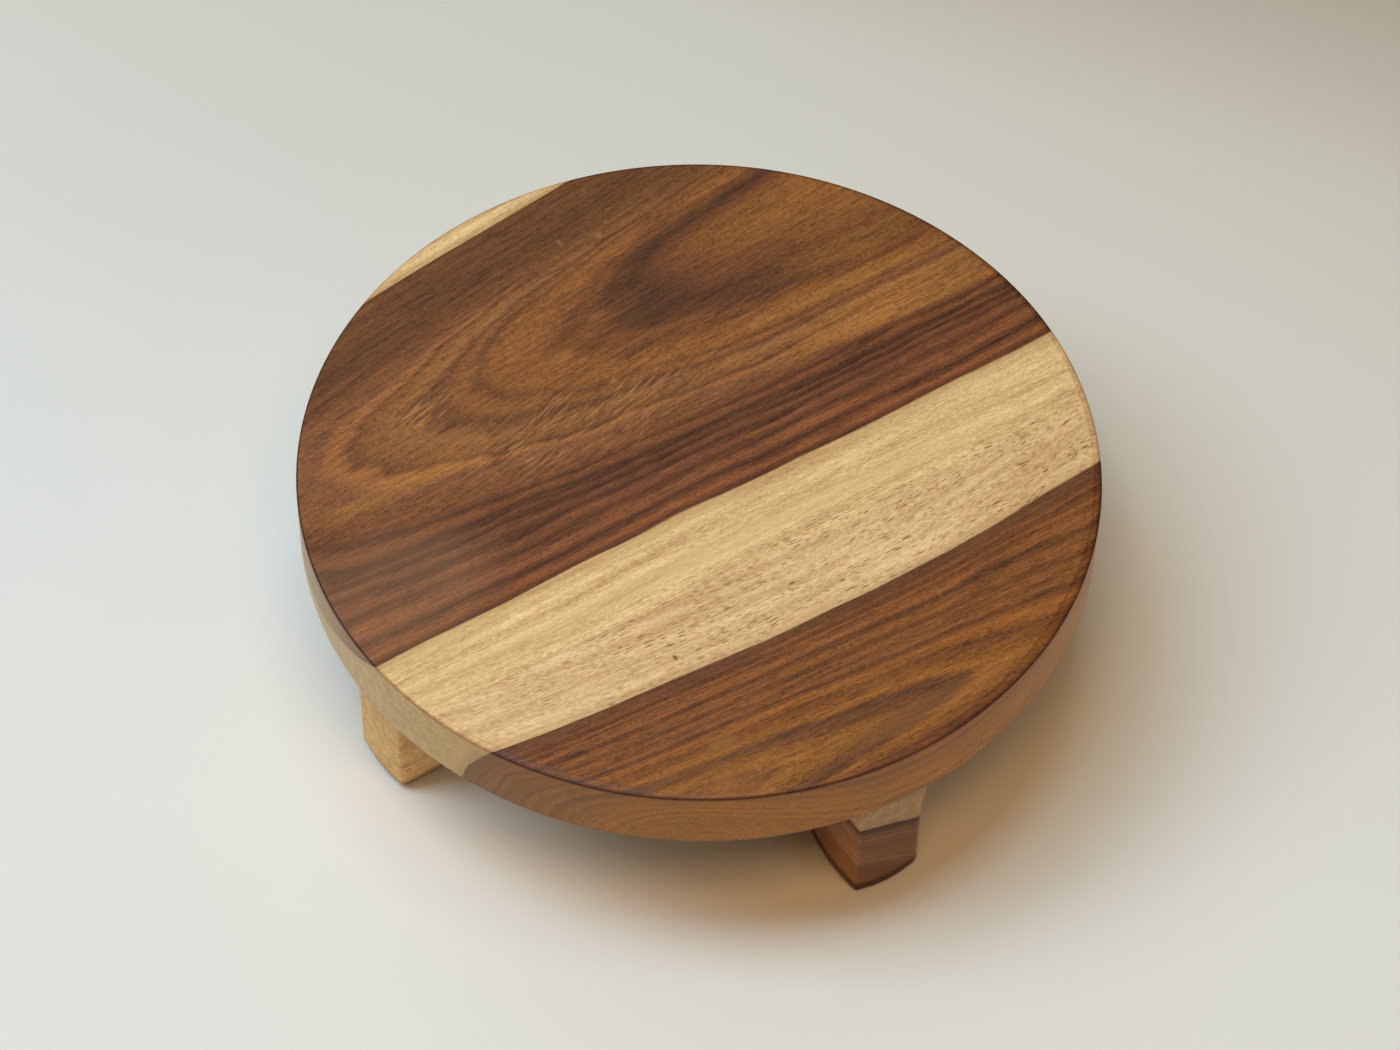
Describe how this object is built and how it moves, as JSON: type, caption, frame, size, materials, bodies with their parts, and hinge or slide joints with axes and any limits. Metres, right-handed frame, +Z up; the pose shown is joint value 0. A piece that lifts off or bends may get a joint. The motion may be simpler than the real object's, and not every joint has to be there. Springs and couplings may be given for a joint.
{
  "type": "chakla rolling board",
  "caption": "Round solid-wood board on short square block feet, on which flatbread dough is rolled out.",
  "frame": {"origin": "centre of the board, on the surface that the feet stand on", "axes": "+X along the grain of the planks, +Y across the grain towards the wider plank, +Z up out of the rolling face"},
  "size_m": [0.25, 0.25, 0.079],
  "materials": {
    "back_plank_wood": "oiled, satin",
    "front_plank_wood": "oiled, satin",
    "foot_wood": "oiled, satin",
    "dowel_wood": "plain, turned"
  },
  "bodies": {
    "root": {"back_plank": "back_plank_wood", "front_plank": "front_plank_wood", "foot_left": "foot_wood", "foot_front": "foot_wood", "foot_right": "foot_wood", "foot_back": "foot_wood", "dowel_left": "dowel_wood", "dowel_front": "dowel_wood", "dowel_right": "dowel_wood", "dowel_back": "dowel_wood"}
  },
  "joints": []
}
